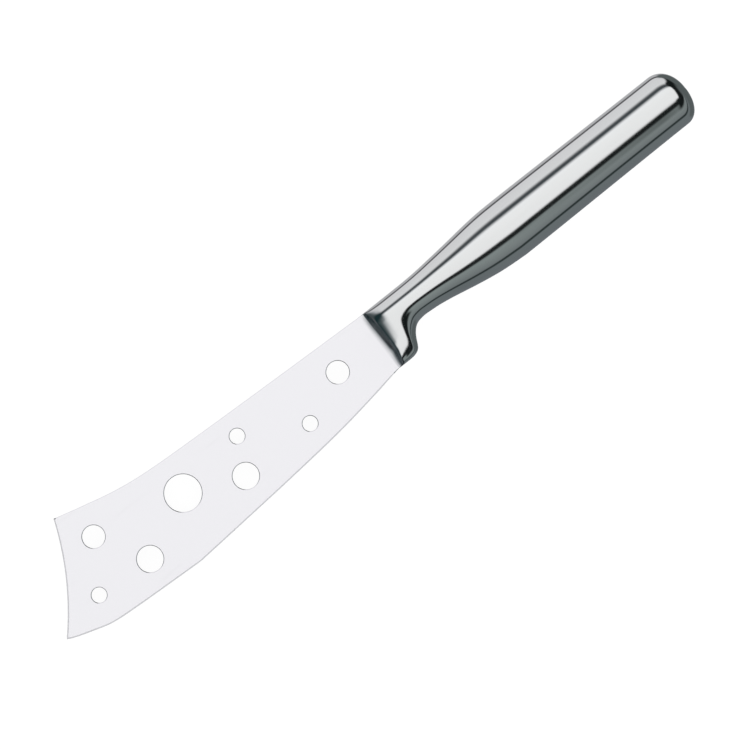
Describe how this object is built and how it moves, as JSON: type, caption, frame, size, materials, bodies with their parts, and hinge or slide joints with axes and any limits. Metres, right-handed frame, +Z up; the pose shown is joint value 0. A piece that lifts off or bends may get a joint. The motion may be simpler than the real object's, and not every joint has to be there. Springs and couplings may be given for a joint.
{
  "type": "cheese knife",
  "caption": "Cheese knife with a perforated blade that flares to a hollow-curved tip, a deep heel and a smooth, rounded all-steel handle.",
  "frame": {"origin": "under the middle of the knife's length and height, in the plane of its lowest point as it lies on its side", "axes": "+X along the knife to the handle's butt, +Y across it to the blade's spine, +Z up, out of the blade's flat side"},
  "size_m": [0.24, 0.0362, 0.013],
  "materials": {
    "blade_steel": "fine satin, ground stainless steel",
    "shell_steel": "polished stainless steel",
    "weld_metal": "stainless weld, ground flush and polished",
    "filling": "matt, set sand and resin"
  },
  "bodies": {
    "root": {"blade": "blade_steel", "handle_shell_left": "shell_steel", "handle_shell_right": "shell_steel", "seam_weld": "weld_metal", "mouth_weld_left": "weld_metal", "mouth_weld_right": "weld_metal", "handle_filling": "filling"}
  },
  "joints": []
}
